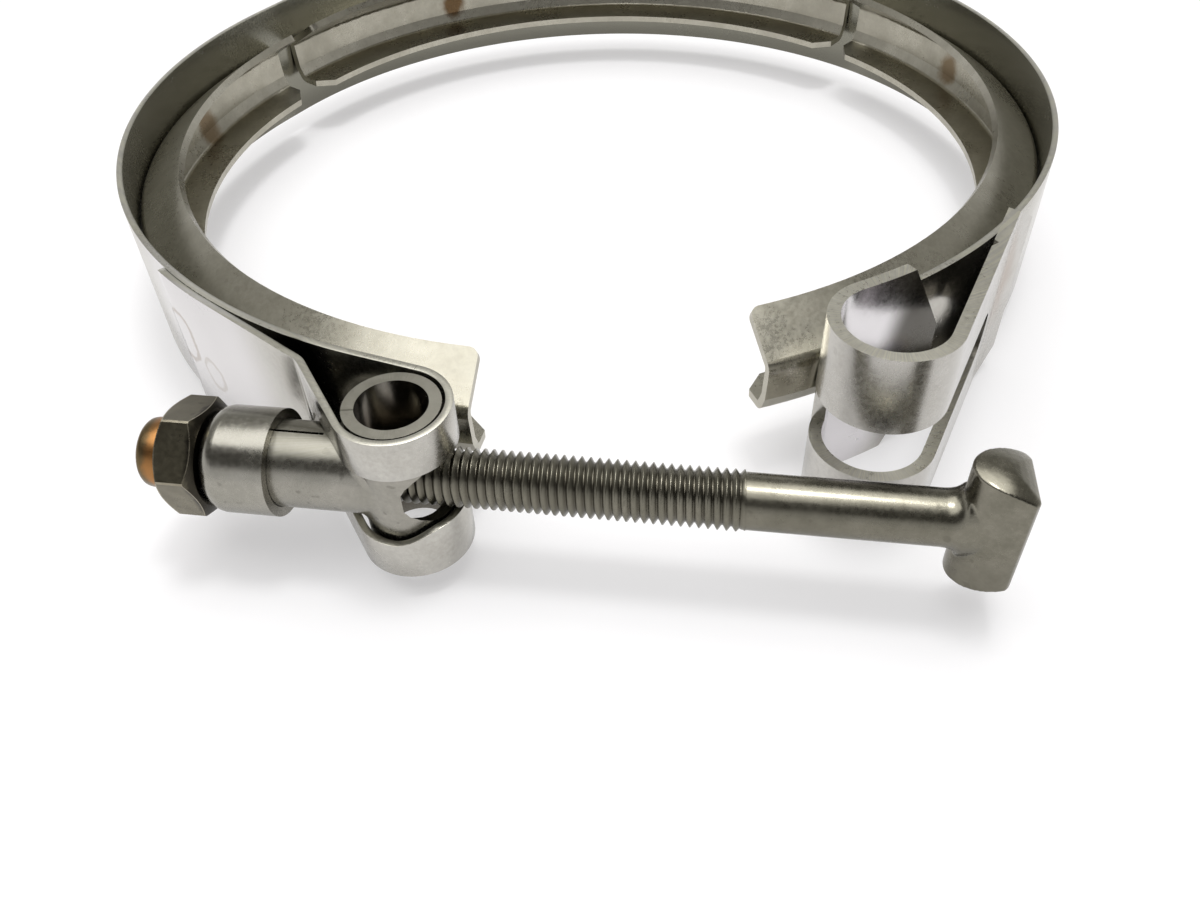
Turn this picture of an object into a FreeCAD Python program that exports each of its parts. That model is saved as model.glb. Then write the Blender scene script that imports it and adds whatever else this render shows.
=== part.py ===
import FreeCAD, Part
import math
import os
import Sketcher
from FreeCAD import Vector

# T-bolt V-band clamp, in millimetres.
# +Z is the axis of the clamped joint. The origin lies on that axis, in the middle plane of the
# band, which is also the plane of the bolt. The latch is on the -Y side: the trunnion and its
# nut stand on the left (-X) arm, and the loop that catches the bolt's head on the right arm.
# The latch is slack, so both arms stand a few degrees away from one common circle.
# Angles are in degrees, seen from above and counted from +X toward +Y.

SIZES = {
    # Outer band
    "band_radius": 64.5,            # outer face of the band
    "band_thickness": 0.8,
    "band_width": 19.05,
    "weld_gap": 0.03,               # between strips that are spot-welded together
    "left_gap_angle": 149.4,        # where the left arm hinges in the band
    "left_arm_turn": 3.7,           # how far the left arm is spread
    "right_gap_angle": 40.5,
    "right_arm_turn": 1.04,         # how far the right arm is pulled in
    "right_gap_half": 1.7,          # half of the stretch over which the band bends
    "band_end_angle": -68.6,        # free end of the band, on the right arm
    # Folded loop of the band, round the trunnion
    "loop_angle": 253.55,           # direction of the trunnion's axis from the left arm's
    "loop_inner_radius": 5.25,
    "loop_standoff": 0.42,          # the band rises by this much before it folds
    "tail_lift_angle": 229,         # where the folded end comes off the band
    "tail_run": 16.5,               # straight stretch from there to the corner
    "tail_corner_radius": 3.5,
    "tail_end_angle": 220.7,
    "slot_height": 9.5,
    "slot_throat": 8.05,            # lower part of the slot, toward the bolt's head
    "slot_setback": -0.6,           # from the corner to the slot's round end
    "slot_step_angle": -66,         # on the loop's circle, where the slot narrows
    "slot_end_angle": 55,
    # V-section retainers
    "retainer_sheet": 1.0,
    "shoulder_height": 3.2,         # outer bend between flank and wall
    "flank_length": 7.45,
    "flank_angle": 31.5,
    "wall_length": 4.7,
    "wall_tilt": 3.9,
    "heel_length": 2.6,
    "heel_tilt": 23.6,
    "foot_length": 5.4,
    "foot_tilt": 5.3,
    "retainer_bend": 0.5,           # inside radius of the folds
    "lip_corner": 1.2,
    "foot_corner": 2.4,
    "left_retainer_start_angle": 147.4,
    "left_retainer_end_angle": 257.7,
    "back_retainer_start_angle": 43.2,
    "back_retainer_end_angle": 147.5,
    "right_retainer_start_angle": -74.15,
    "right_retainer_end_angle": 39.4,
    # Strap with the loop for the bolt's head
    "strap_thickness": 1.4,
    "strap_width": 25.4,
    "catch_angle": -66.4,           # where the loop leaves the right arm
    "catch_inner_radius": 5.5,
    "catch_leg_heading": 61,        # direction of the outer leg
    "catch_tail_angle": -42.6,      # middle of the outer leg's end, on the band
    "catch_tail_length": 4.6,
    "catch_bend_radius": 4,
    "inner_tip_angle": -55.6,
    "inner_taper_angle": -60.4,
    "inner_tip_height": 6.7,
    "outer_chamfer_length": 5.3,
    "outer_chamfer_height": 3.2,
    "catch_slot_height": 6.7,
    "catch_slot_reach": 20.5,       # along the outer leg, from the loop to the slot's end
    "catch_slot_end_angle": 150,    # on the loop's circle
    # Trunnion: a rolled cylinder in the loop with a barrel that carries the ferrule
    "bolt_angle": -9.6,             # direction of the bolt from the trunnion
    "trunnion_clearance": 0.35,
    "trunnion_wall": 1.25,
    "trunnion_inset": 0.225,        # from each edge of the band to the trunnion's end
    "barrel_radius": 4.6,
    "barrel_bore_radius": 3.5,
    "barrel_length": 19.35,
    "barrel_fillet": 1.5,
    "exit_hole_width": 9.6,
    "exit_hole_top": 4.1,
    "exit_hole_bottom": -3.4,
    "exit_hole_corner": 2.6,
    "seam_width": 0.3,
    # Ferrule and lock nut
    "ferrule_clearance": 0.07,
    "ferrule_radius": 5.7,
    "ferrule_end_gap": 0.1,
    "ferrule_end_wall": 1.0,
    "ferrule_length": 7.4,
    "ferrule_round": 2.0,
    "thread_clearance": 0.075,
    "nut_gap": 0.05,
    "nut_flats": 11.11,
    "nut_height": 4.35,
    "nut_turn": 13.6,               # turn of the hexagon about the bolt
    "nut_bevel": 1.0,
    "collar_radius": 3.75,
    "collar_height": 2.9,
    "collar_round": 1.0,
    # T-bolt
    "thread_radius": 3.125,
    "thread_start": -26.95,         # along the bolt, from the trunnion's axis
    "thread_end": 35.2,
    "shank_radius": 2.9,
    "head_start": 55.05,
    "head_length": 5.9,
    "head_width": 7.2,
    "head_height": 14.8,
    "head_nose_radius": 2.9,
    "head_back_radius": 1.3,
    "head_edge_radius": 1.1,
    "bolt_bevel": 0.6,
}

doc = FreeCAD.newDocument("v_band_clamp")
sheet = doc.addObject("Spreadsheet::Sheet", "Sizes")
for row, (alias, number) in enumerate(SIZES.items(), start=1):
    sheet.set(f"A{row}", alias)
    sheet.set(f"B{row}", str(number))
    sheet.setAlias(f"B{row}", alias)
doc.recompute()


def size(alias):
    """Value of one cell of the sheet."""
    return float(sheet.get(alias))


def value(expression):
    """Number that an expression over the sheet gives."""
    result = sheet.evalExpression(expression)
    return float(getattr(result, "Value", result))


def polar(centre, radius, angle):
    """Point at an angle on a circle in the middle plane."""
    turn = math.radians(angle)
    return centre + Vector(radius * math.cos(turn), radius * math.sin(turn), 0)


def heading(direction):
    """Angle of a direction in the middle plane."""
    return math.degrees(math.atan2(direction.y, direction.x))


# Each arm is the band's circle turned about the gap between two retainers, so the centre of
# its circle is moved a little. These expressions give the moved centres.


def arm_centre(side):
    """Expressions for the centre of one arm's circle."""
    reach = f"2 * Sizes.band_radius * sin(Sizes.{side}_arm_turn / 2)"
    way = f"Sizes.{side}_gap_angle - Sizes.{side}_arm_turn / 2 + 90"
    return f"{reach} * cos({way})", f"{reach} * sin({way})"


LEFT_X, LEFT_Y = arm_centre("left")
RIGHT_X, RIGHT_Y = arm_centre("right")
ring_centre = Vector(0, 0, 0)
left_centre = Vector(value(LEFT_X), value(LEFT_Y), 0)
right_centre = Vector(value(RIGHT_X), value(RIGHT_Y), 0)

# The trunnion's axis is the axis of the band's folded loop.
LOOP_REACH = "(Sizes.band_radius + Sizes.loop_inner_radius + Sizes.loop_standoff)"
LOOP_X = f"{LEFT_X} + {LOOP_REACH} * cos(Sizes.loop_angle)"
LOOP_Y = f"{LEFT_Y} + {LOOP_REACH} * sin(Sizes.loop_angle)"


def place(body, x, y, angle):
    """Bind a body's placement: a point in the middle plane and a turn about +Z."""
    spot = f"vector({x}; {y}; 0)"
    body.setExpression("Placement", f"placement({spot}; rotation(vector(0; 0; 1); {angle}))")


def place_on_bolt(body, distance):
    """Place a body on the bolt's axis, at a distance from the trunnion toward the head."""
    x = f"{LOOP_X} + ({distance}) * cos(Sizes.bolt_angle)"
    y = f"{LOOP_Y} + ({distance}) * sin(Sizes.bolt_angle)"
    place(body, x, y, "Sizes.bolt_angle")


def new_body(label):
    body = doc.addObject("PartDesign::Body", label)
    body.Label = label
    return body


def new_sketch(body, name, role):
    """Sketch on one of the body's own origin planes."""
    sketch = body.newObject("Sketcher::SketchObject", name)
    plane = next(item for item in body.Origin.OriginFeatures if item.Role == role)
    sketch.AttachmentSupport = [(plane, "")]
    sketch.MapMode = "FlatFace"
    return sketch


def polygon(body, name, role, corners):
    """Closed polygon whose corners are bound to the sheet by pairs of expressions."""
    sketch = new_sketch(body, name, role)
    points = [Vector(value(x), value(y), 0) for x, y in corners]
    count = len(points)
    for index, point in enumerate(points):
        sketch.addGeometry(Part.LineSegment(point, points[(index + 1) % count]))
    for index in range(count):
        sketch.addConstraint(Sketcher.Constraint("Coincident", index, 2, (index + 1) % count, 1))
    for index, pair in enumerate(corners):
        for axis, expression in zip("XY", pair):
            start = getattr(points[index], axis.lower())
            rule = Sketcher.Constraint(f"Distance{axis}", -1, 1, index, 1, start)
            number = sketch.addConstraint(rule)
            sketch.renameConstraint(number, f"corner{index + 1}{axis}")
            sketch.setExpression(f"Constraints.corner{index + 1}{axis}", expression)
    return sketch


def circle(body, name, role, radius):
    """Circle about the body's origin, its radius bound to the sheet."""
    sketch = new_sketch(body, name, role)
    sketch.addGeometry(Part.Circle(Vector(0, 0, 0), Vector(0, 0, 1), value(radius)))
    sketch.addConstraint(Sketcher.Constraint("Coincident", 0, 3, -1, 1))
    number = sketch.addConstraint(Sketcher.Constraint("Radius", 0, value(radius)))
    sketch.renameConstraint(number, "radius")
    sketch.setExpression("Constraints.radius", radius)
    return sketch


def revolve(body, kind, sketch, axis, angle="360"):
    """Revolution or Groove about the sketch's H_Axis or V_Axis."""
    feature = body.newObject(f"PartDesign::{kind}", f"{sketch.Name}_turned")
    feature.Profile = sketch
    feature.ReferenceAxis = (sketch, [axis])
    feature.Midplane = True
    feature.setExpression("Angle", angle)
    doc.recompute()
    return feature


def extend(body, kind, sketch, length, side="One side", backward=False):
    """Pad or Pocket of a sketch."""
    feature = body.newObject(f"PartDesign::{kind}", f"{sketch.Name}_{kind.lower()}")
    feature.Profile = sketch
    feature.SideType = side
    feature.Reversed = backward
    feature.setExpression("Length", length)
    doc.recompute()
    return feature


def edges_through(feature, points):
    """Names of the feature's edges that pass through the given points."""
    names = []
    for index, edge in enumerate(feature.Shape.Edges, start=1):
        if any(edge.distToShape(Part.Vertex(point))[0] < 0.001 for point in points):
            names.append(f"Edge{index}")
    return names


def dress(body, kind, base, points, length):
    """Fillet or Chamfer on the edges that pass through the given points."""
    feature = body.newObject(f"PartDesign::{kind}", f"{base.Name}_{kind.lower()}")
    feature.Base = (base, edges_through(base, points))
    feature.setExpression("Radius" if kind == "Fillet" else "Size", length)
    doc.recompute()
    return feature


# Folded strips. A strip is a path of straight runs and tangent arcs in the middle plane,
# thickened to both sides and as wide as the strip along Z.


def arc_edge(centre, radius, start, end):
    middle = polar(centre, radius, (start + end) / 2)
    return Part.Arc(polar(centre, radius, start), middle, polar(centre, radius, end)).toShape()


def side_edges(path, offset):
    """Edges of a path moved to its left by offset."""
    edges = []
    for piece in path:
        if piece[0] == "arc":
            centre, radius, start, end = piece[1:]
            inward = offset if end > start else -offset
            edges.append(arc_edge(centre, radius - inward, start, end))
        else:
            start, end = piece[1:]
            left = Vector(start.y - end.y, end.x - start.x, 0).normalize() * offset
            edges.append(Part.LineSegment(start + left, end + left).toShape())
    return edges


def strip(path, thickness, width):
    """Solid strip along a path."""
    left = side_edges(path, thickness / 2)
    right = side_edges(path, -thickness / 2)
    ends = []
    for index, point in ((0, "FirstParameter"), (-1, "LastParameter")):
        one = left[index].valueAt(getattr(left[index], point))
        two = right[index].valueAt(getattr(right[index], point))
        ends.append(Part.LineSegment(one, two).toShape())
    outline = Part.Wire(Part.__sortEdges__(left + right + ends))
    plan = Part.Face(outline)
    plan.translate(Vector(0, 0, -width / 2))
    return plan.extrude(Vector(0, 0, width))


def bend(before, corner, after, radius):
    """Rounded corner between two runs: where it starts, the arc, and where it ends."""
    first = (corner - before).normalize()
    second = (after - corner).normalize()
    turn = (heading(second) - heading(first) + 180) % 360 - 180
    cut = radius * math.tan(math.radians(abs(turn) / 2))
    start = corner - first * cut
    side = math.copysign(90, turn)
    centre = polar(start, radius, heading(first) + side)
    opening = heading(start - centre)
    return start, ("arc", centre, radius, opening, opening + turn), corner + second * cut


def round_end(point, direction, height, thickness):
    """Round end of a slot: a disc across a straight run, one radius in from the slot's end."""
    across = Vector(-direction.y, direction.x, 0)
    centre = point + direction * (height / 2)
    return Part.makeCylinder(height / 2, thickness, centre - across * (thickness / 2), across)


def corner_cut(start, direction, length, inner, outer, thickness):
    """Cutters that taper a strip from half-height outer to half-height inner."""
    across = Vector(-direction.y, direction.x, 0)
    cutters = []
    for sign in (1, -1):
        corners = [(0, outer), (length, inner), (2 * length, inner), (2 * length, 2 * outer), (0, 2 * outer)]
        points = [start + direction * along + Vector(0, 0, sign * up) for along, up in corners]
        face = Part.Face(Part.makePolygon(points + points[:1]))
        face.translate(across * (-thickness / 2))
        cutters.append(face.extrude(across * thickness))
    return cutters


def add_strip(label, shape):
    """Sub-part whose shape is a folded strip."""
    part = doc.addObject("Part::Feature", label)
    part.Label = label
    part.Shape = shape.removeSplitter()
    part.Placement = FreeCAD.Placement()
    return part


# Band: right arm, back, left arm, then round the trunnion and back onto its own outer face.

middle_radius = size("band_radius") - size("band_thickness") / 2
loop_middle = size("loop_inner_radius") + size("band_thickness") / 2
loop_distance = middle_radius + loop_middle + size("loop_standoff")
loop_centre = polar(left_centre, loop_distance, size("loop_angle"))

# The band leaves its own circle on a straight run, tangent to the arm and to the loop.
leave_turn = math.degrees(math.acos((middle_radius + loop_middle) / loop_distance))
leave_angle = size("loop_angle") - leave_turn

# Across the right gap the band bends more tightly than its own circle, which pulls the arm in.
right_turn_angle = size("right_gap_angle") - size("right_arm_turn") / 2
tight_shift = right_centre.Length / 2 / math.sin(math.radians(size("right_gap_half")))
tight_centre = polar(ring_centre, tight_shift, right_turn_angle + size("right_gap_half"))

# The folded end: off the band, straight to its corner, then tangent to the loop.
tail_radius = size("band_radius") + size("weld_gap") + size("band_thickness") / 2
tail_lift = polar(left_centre, tail_radius, size("tail_lift_angle"))
tail_corner = polar(tail_lift, size("tail_run"), size("tail_lift_angle") + 90)
to_corner = tail_corner - loop_centre
loop_end_angle = heading(to_corner) + math.degrees(math.acos(loop_middle / to_corner.Length)) - 360
loop_end = polar(loop_centre, loop_middle, loop_end_angle)
corner_start, corner_arc, corner_end = bend(
    loop_end, tail_corner, tail_lift, size("tail_corner_radius")
)

left_turn_angle = size("left_gap_angle") - size("left_arm_turn") / 2
band_path = [
    ("arc", right_centre, middle_radius, size("band_end_angle"),
     right_turn_angle - size("right_gap_half")),
    ("arc", tight_centre, middle_radius - tight_shift,
     right_turn_angle - size("right_gap_half"), right_turn_angle + size("right_gap_half")),
    ("arc", ring_centre, middle_radius, right_turn_angle + size("right_gap_half"),
     left_turn_angle),
    ("run", polar(ring_centre, middle_radius, left_turn_angle),
     polar(left_centre, middle_radius, left_turn_angle)),
    ("arc", left_centre, middle_radius, left_turn_angle, leave_angle),
    ("run", polar(left_centre, middle_radius, leave_angle),
     polar(loop_centre, loop_middle, leave_angle - 180)),
    ("arc", loop_centre, loop_middle, leave_angle - 180, loop_end_angle),
    ("run", loop_end, corner_start),
    corner_arc,
    ("run", corner_end, tail_lift),
    ("arc", left_centre, tail_radius, size("tail_lift_angle"), size("tail_end_angle")),
]
band_strip = strip(band_path, size("band_thickness"), size("band_width"))

# Slot for the barrel: full height down the straight run and round the front of the loop. On
# the side toward the bolt's head its lower edge is higher.
cut_depth = 3 * size("band_thickness")
run_back = (loop_end - corner_start).normalize()
slot_start = corner_start + run_back * size("slot_setback")
wide_path = [
    ("run", loop_end, slot_start + run_back * (size("slot_height") / 2)),
]
wide_front = [("arc", loop_centre, loop_middle, loop_end_angle, size("slot_step_angle"))]
narrow_path = [("arc", loop_centre, loop_middle, loop_end_angle, size("slot_end_angle"))]
throat = strip(narrow_path, cut_depth, size("slot_throat"))
throat.translate(Vector(0, 0, (size("slot_height") - size("slot_throat")) / 2))
band_slot = [
    strip(wide_path, cut_depth, size("slot_height")),
    strip(wide_front, cut_depth, size("slot_height")),
    throat,
    round_end(slot_start, run_back, size("slot_height"), cut_depth),
]
add_strip("band", band_strip.cut(band_slot))

# Strap on the right arm: flat on the band, round the loop, and back to the band along a
# straight outer leg. Both ends taper where they are welded.

strap_radius = size("band_radius") + size("weld_gap") + size("strap_thickness") / 2
catch_middle = size("catch_inner_radius") + size("strap_thickness") / 2
catch_centre = polar(right_centre, strap_radius + catch_middle, size("catch_angle"))
leg_angle = size("catch_leg_heading")
leg_start = polar(catch_centre, catch_middle, leg_angle - 90)
leg_way = polar(ring_centre, 1, leg_angle)

# The outer leg's end lies along the band's tangent. The leg meets that line at the bend.
tail_way = polar(ring_centre, 1, size("catch_tail_angle") + 90)
tail_seat = polar(right_centre, strap_radius, size("catch_tail_angle"))
gap_across = (tail_seat - leg_start).cross(tail_way).z
leg_length = gap_across / leg_way.cross(tail_way).z
leg_corner = leg_start + leg_way * leg_length
catch_tip = leg_corner + tail_way * size("catch_tail_length")
catch_bend_start, catch_arc, catch_bend_end = bend(
    leg_start, leg_corner, catch_tip, size("catch_bend_radius")
)
catch_path = [
    ("arc", right_centre, strap_radius, size("inner_tip_angle"), size("catch_angle")),
    ("arc", catch_centre, catch_middle, size("catch_angle") + 180, leg_angle + 270),
    ("run", leg_start, catch_bend_start),
    catch_arc,
    ("run", catch_bend_end, catch_tip),
]
catch_strip = strip(catch_path, size("strap_thickness"), size("strap_width"))

strap_cut = 3 * size("strap_thickness")
catch_slot_end = leg_start + leg_way * size("catch_slot_reach")
slot_leg = [("run", leg_start, catch_slot_end - leg_way * (size("catch_slot_height") / 2))]
slot_front = [
    ("arc", catch_centre, catch_middle, size("catch_slot_end_angle"), leg_angle + 270)
]
taper_start = polar(right_centre, strap_radius, size("inner_taper_angle"))
taper_end = polar(right_centre, strap_radius, size("inner_tip_angle"))
half_strap = size("strap_width") / 2
catch_cuts = [
    strip(slot_leg, strap_cut, size("catch_slot_height")),
    strip(slot_front, strap_cut, size("catch_slot_height")),
    round_end(catch_slot_end, leg_way * -1, size("catch_slot_height"), strap_cut),
]
catch_cuts += corner_cut(
    taper_start, (taper_end - taper_start).normalize(), (taper_end - taper_start).Length,
    size("inner_tip_height") / 2, half_strap, strap_cut,
)
catch_cuts += corner_cut(
    catch_tip - tail_way * size("outer_chamfer_length"), tail_way,
    size("outer_chamfer_length"), half_strap - size("outer_chamfer_height"), half_strap,
    strap_cut,
)
add_strip("t_bolt_loop", catch_strip.cut(catch_cuts))

# Retainers. The section is a folded channel: a flank that rises inward to the lip, a nearly
# upright wall against the band, a heel that leans inward and a flat foot.

WALL_FACE = "(Sizes.band_radius - Sizes.band_thickness - Sizes.weld_gap)"
FOLDS = {
    "flank": ("Sizes.flank_length", "-cos(Sizes.flank_angle)", "sin(Sizes.flank_angle)"),
    "wall": ("Sizes.wall_length", "-sin(Sizes.wall_tilt)", "-cos(Sizes.wall_tilt)"),
    "heel": ("Sizes.heel_length", "-sin(Sizes.heel_tilt)", "-cos(Sizes.heel_tilt)"),
    "foot": ("Sizes.foot_length", "-cos(Sizes.foot_tilt)", "-sin(Sizes.foot_tilt)"),
}
INWARD = {
    "flank": ("-sin(Sizes.flank_angle)", "-cos(Sizes.flank_angle)"),
    "wall": ("-cos(Sizes.wall_tilt)", "sin(Sizes.wall_tilt)"),
    "heel": ("-cos(Sizes.heel_tilt)", "sin(Sizes.heel_tilt)"),
    "foot": ("-sin(Sizes.foot_tilt)", "cos(Sizes.foot_tilt)"),
}


def along(corner, fold):
    """Corner reached from another one along a fold of the section."""
    length, way_x, way_z = FOLDS[fold]
    return f"{corner[0]} + {length} * ({way_x})", f"{corner[1]} + {length} * ({way_z})"


def inside(corner, fold, next_fold):
    """Inner corner of the sheet between two folds."""
    first, second = INWARD[fold], INWARD[next_fold]
    spread = f"(1 + ({first[0]}) * ({second[0]}) + ({first[1]}) * ({second[1]}))"
    return tuple(
        f"{corner[axis]} + Sizes.retainer_sheet * ({first[axis]} + {second[axis]}) / {spread}"
        for axis in (0, 1)
    )


shoulder = (WALL_FACE, "Sizes.shoulder_height")
lip = along(shoulder, "flank")
knee = along(shoulder, "wall")
heel = along(knee, "heel")
foot = along(heel, "foot")
SECTION = [
    lip, shoulder, knee, heel, foot,
    inside(foot, "foot", "foot"), inside(heel, "heel", "foot"), inside(knee, "wall", "heel"),
    inside(shoulder, "flank", "wall"), inside(lip, "flank", "flank"),
]


def section_point(corner, angle):
    """Corner of the section, turned about the axis of the ring."""
    return polar(ring_centre, value(corner[0]), angle) + Vector(0, 0, value(corner[1]))


def retainer(side, x, y):
    """One retainer, revolved about its own arm's axis."""
    body = new_body(f"retainer_{side}")
    start, end = f"Sizes.{side}_retainer_start_angle", f"Sizes.{side}_retainer_end_angle"
    section = polygon(body, f"section_{side}", "XZ_Plane", SECTION)
    channel = revolve(body, "Revolution", section, "V_Axis", f"{end} - {start}")
    outer = [section_point(corner, 0) for corner in (shoulder, heel)]
    inner = [section_point(SECTION[index], 0) for index in (6, 8)]
    folded = dress(body, "Fillet", channel, inner, "Sizes.retainer_bend")
    folded = dress(body, "Fillet", folded, outer, "Sizes.retainer_bend + Sizes.retainer_sheet")
    half = value(f"({end} - {start}) / 2")
    lips = [(section_point(SECTION[0], turn) + section_point(SECTION[9], turn)) / 2
            for turn in (half, -half)]
    feet = [(section_point(SECTION[4], turn) + section_point(SECTION[5], turn)) / 2
            for turn in (half, -half)]
    rounded = dress(body, "Fillet", folded, lips, "Sizes.lip_corner")
    dress(body, "Chamfer", rounded, feet, "Sizes.foot_corner")
    place(body, x, y, f"({start} + {end}) / 2")


retainer("left", LEFT_X, LEFT_Y)
retainer("back", "0", "0")
retainer("right", RIGHT_X, RIGHT_Y)

# Trunnion. Its own frame: Z is the swing axis, X points along the bolt toward the head.

TRUNNION_RADIUS = "(Sizes.loop_inner_radius - Sizes.trunnion_clearance)"
body = new_body("trunnion")
post = circle(body, "post", "XY_Plane", TRUNNION_RADIUS)
extend(body, "Pad", post, "Sizes.band_width - 2 * Sizes.trunnion_inset", "Symmetric")
barrel = circle(body, "barrel", "YZ_Plane", "Sizes.barrel_radius")
joined = extend(body, "Pad", barrel, "Sizes.barrel_length", backward=True)
saddle_x = math.sqrt(value(TRUNNION_RADIUS) ** 2 - size("barrel_radius") ** 2)
saddle = [Vector(-saddle_x, size("barrel_radius"), 0)]
joined = dress(body, "Fillet", joined, saddle, "Sizes.barrel_fillet")
hollow = circle(body, "hollow", "XY_Plane", f"{TRUNNION_RADIUS} - Sizes.trunnion_wall")
extend(body, "Pocket", hollow, "2 * Sizes.band_width", "Symmetric")
bore = circle(body, "bore", "YZ_Plane", "Sizes.barrel_bore_radius")
extend(body, "Pocket", bore, "2 * Sizes.barrel_length")
exit_corners = []
for across, level in ((1, "top"), (-1, "top"), (-1, "bottom"), (1, "bottom")):
    upward = 1 if level == "top" else -1
    for turn in (0, 18, 36, 54, 72, 90):
        angle = turn if across == upward else 90 - turn
        y = f"{across} * (Sizes.exit_hole_width / 2 - Sizes.exit_hole_corner * (1 - cos({angle})))"
        z = f"Sizes.exit_hole_{level} - {upward} * Sizes.exit_hole_corner * (1 - sin({angle}))"
        exit_corners.append((y, z))
exit_hole = polygon(body, "exit_hole", "YZ_Plane", exit_corners)
extend(body, "Pocket", exit_hole, "2 * Sizes.loop_inner_radius", backward=True)
seam_end = f"-{TRUNNION_RADIUS} - 2 * Sizes.barrel_fillet"
seam = polygon(body, "seam", "XY_Plane", [
    ("-2 * Sizes.barrel_length", "-Sizes.seam_width / 2"),
    (seam_end, "-Sizes.seam_width / 2"),
    (seam_end, "Sizes.seam_width / 2"),
    ("-2 * Sizes.barrel_length", "Sizes.seam_width / 2"),
])
extend(body, "Pocket", seam, "2 * Sizes.barrel_radius", backward=True)
place_on_bolt(body, "0")

# Ferrule: a cup over the barrel's end. Its origin is the outer face of its end.

FERRULE_FACE = "(-Sizes.barrel_length - Sizes.ferrule_end_gap - Sizes.ferrule_end_wall)"
BOLT_HOLE = "Sizes.thread_radius + Sizes.thread_clearance"
CUP_BORE = "Sizes.barrel_radius + Sizes.ferrule_clearance"
body = new_body("ferrule")
cup = polygon(body, "cup", "XZ_Plane", [
    ("0", BOLT_HOLE),
    ("0", "Sizes.ferrule_radius"),
    ("Sizes.ferrule_length", "Sizes.ferrule_radius"),
    ("Sizes.ferrule_length", CUP_BORE),
    ("Sizes.ferrule_end_wall", CUP_BORE),
    ("Sizes.ferrule_end_wall", BOLT_HOLE),
])
turned = revolve(body, "Revolution", cup, "H_Axis")
rim_corner = [Vector(0, 0, size("ferrule_radius"))]
rim_corner_back = [Vector(0, 0, -size("ferrule_radius"))]
dress(body, "Fillet", turned, rim_corner + rim_corner_back, "Sizes.ferrule_round")
place_on_bolt(body, FERRULE_FACE)

# Lock nut: a hexagon with a round locking collar. Its origin is its bearing face.

NUT_CORNER = "Sizes.nut_flats / 2 / cos(30)"
body = new_body("lock_nut")
hexagon = polygon(body, "hexagon", "YZ_Plane", [
    (f"{NUT_CORNER} * cos(Sizes.nut_turn + {30 + 60 * step})",
     f"{NUT_CORNER} * sin(Sizes.nut_turn + {30 + 60 * step})")
    for step in range(6)
])
extend(body, "Pad", hexagon, "Sizes.nut_height", backward=True)
bevel = polygon(body, "bevel", "XZ_Plane", [
    ("Sizes.nut_bevel", f"{NUT_CORNER} - 2 * Sizes.nut_bevel"),
    ("Sizes.nut_bevel", f"{NUT_CORNER} + Sizes.nut_bevel"),
    ("-2 * Sizes.nut_bevel", f"{NUT_CORNER} + Sizes.nut_bevel"),
])
revolve(body, "Groove", bevel, "H_Axis")
collar = polygon(body, "collar", "XZ_Plane", [
    ("-Sizes.nut_height / 2", "0"),
    ("-Sizes.nut_height / 2", "Sizes.collar_radius"),
    ("-Sizes.nut_height - Sizes.collar_height", "Sizes.collar_radius"),
    ("-Sizes.nut_height - Sizes.collar_height", "0"),
])
crowned = revolve(body, "Revolution", collar, "H_Axis")
collar_end = -size("nut_height") - size("collar_height")
crown = [Vector(collar_end, 0, size("collar_radius")), Vector(collar_end, 0, -size("collar_radius"))]
dress(body, "Fillet", crowned, crown, "Sizes.collar_round")
thread_hole = circle(body, "thread_hole", "YZ_Plane", BOLT_HOLE)
extend(body, "Pocket", thread_hole, "4 * Sizes.nut_height", "Symmetric")
place_on_bolt(body, f"{FERRULE_FACE} - Sizes.nut_gap")

# T-bolt: thread, plain shank and a head that lies across the slot. Its origin is on the
# trunnion's axis.

body = new_body("t_bolt")
shaft = polygon(body, "shaft", "XZ_Plane", [
    ("Sizes.thread_start", "0"),
    ("Sizes.thread_start", "Sizes.thread_radius - Sizes.bolt_bevel"),
    ("Sizes.thread_start + Sizes.bolt_bevel", "Sizes.thread_radius"),
    ("Sizes.thread_end", "Sizes.thread_radius"),
    ("Sizes.thread_end + Sizes.thread_radius - Sizes.shank_radius", "Sizes.shank_radius"),
    ("Sizes.head_start + Sizes.head_length / 2", "Sizes.shank_radius"),
    ("Sizes.head_start + Sizes.head_length / 2", "0"),
])
revolve(body, "Revolution", shaft, "H_Axis")
HEAD_END = "Sizes.head_start + Sizes.head_length"
block = polygon(body, "block", "XY_Plane", [
    ("Sizes.head_start", "-Sizes.head_width / 2"),
    (HEAD_END, "-Sizes.head_width / 2"),
    (HEAD_END, "Sizes.head_width / 2"),
    ("Sizes.head_start", "Sizes.head_width / 2"),
])
head = extend(body, "Pad", block, "Sizes.head_height", "Symmetric")
half_width = size("head_width") / 2
half_height = size("head_height") / 2
head_end = size("head_start") + size("head_length")
nose = [Vector(size("head_start"), side * half_width, half_height / 2) for side in (1, -1)]
back = [Vector(head_end, side * half_width, half_height / 2) for side in (1, -1)]
head = dress(body, "Fillet", head, nose, "Sizes.head_nose_radius")
head = dress(body, "Fillet", head, back, "Sizes.head_back_radius")
head_middle = (size("head_start") + head_end) / 2
rims = [Vector(head_middle, half_width, side * half_height) for side in (1, -1)]
dress(body, "Fillet", head, rims, "Sizes.head_edge_radius")
place_on_bolt(body, "0")

doc.recompute()

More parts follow.
